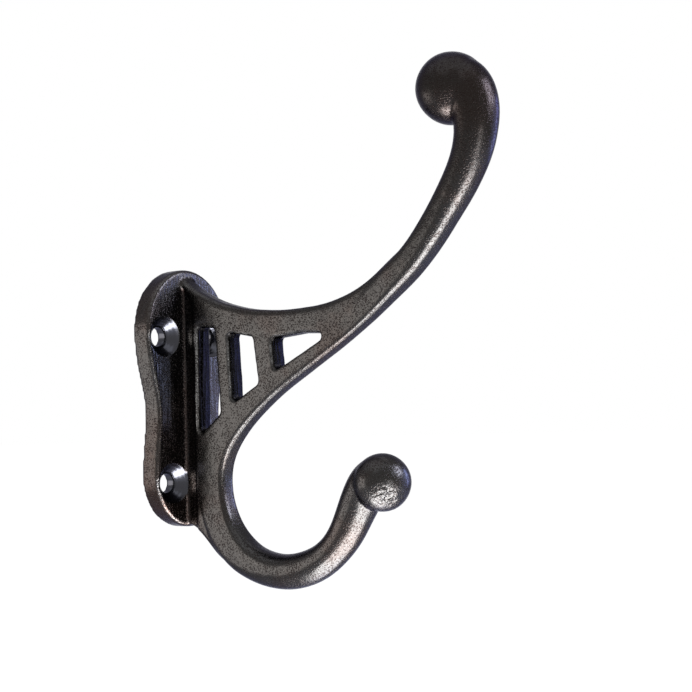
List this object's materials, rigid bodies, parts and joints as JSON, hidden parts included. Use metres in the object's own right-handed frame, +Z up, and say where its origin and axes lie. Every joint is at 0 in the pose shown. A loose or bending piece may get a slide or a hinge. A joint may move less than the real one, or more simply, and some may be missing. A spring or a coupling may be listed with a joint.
{
  "type": "cast iron coat hook",
  "caption": "Cast iron hat and coat hook: wall plate, pierced web, long upper arm and lower hook, each ending in a ball.",
  "frame": {"origin": "middle of the wall plate's back face", "axes": "+Y points into the wall, +Z is up, and the hook is symmetric about the plane X = 0"},
  "size_m": [0.0288, 0.1088, 0.1281],
  "materials": {
    "cast_iron": "dark antique iron, lightly pitted, satin"
  },
  "bodies": {
    "root": {"coat_hook": "cast_iron"}
  },
  "joints": []
}
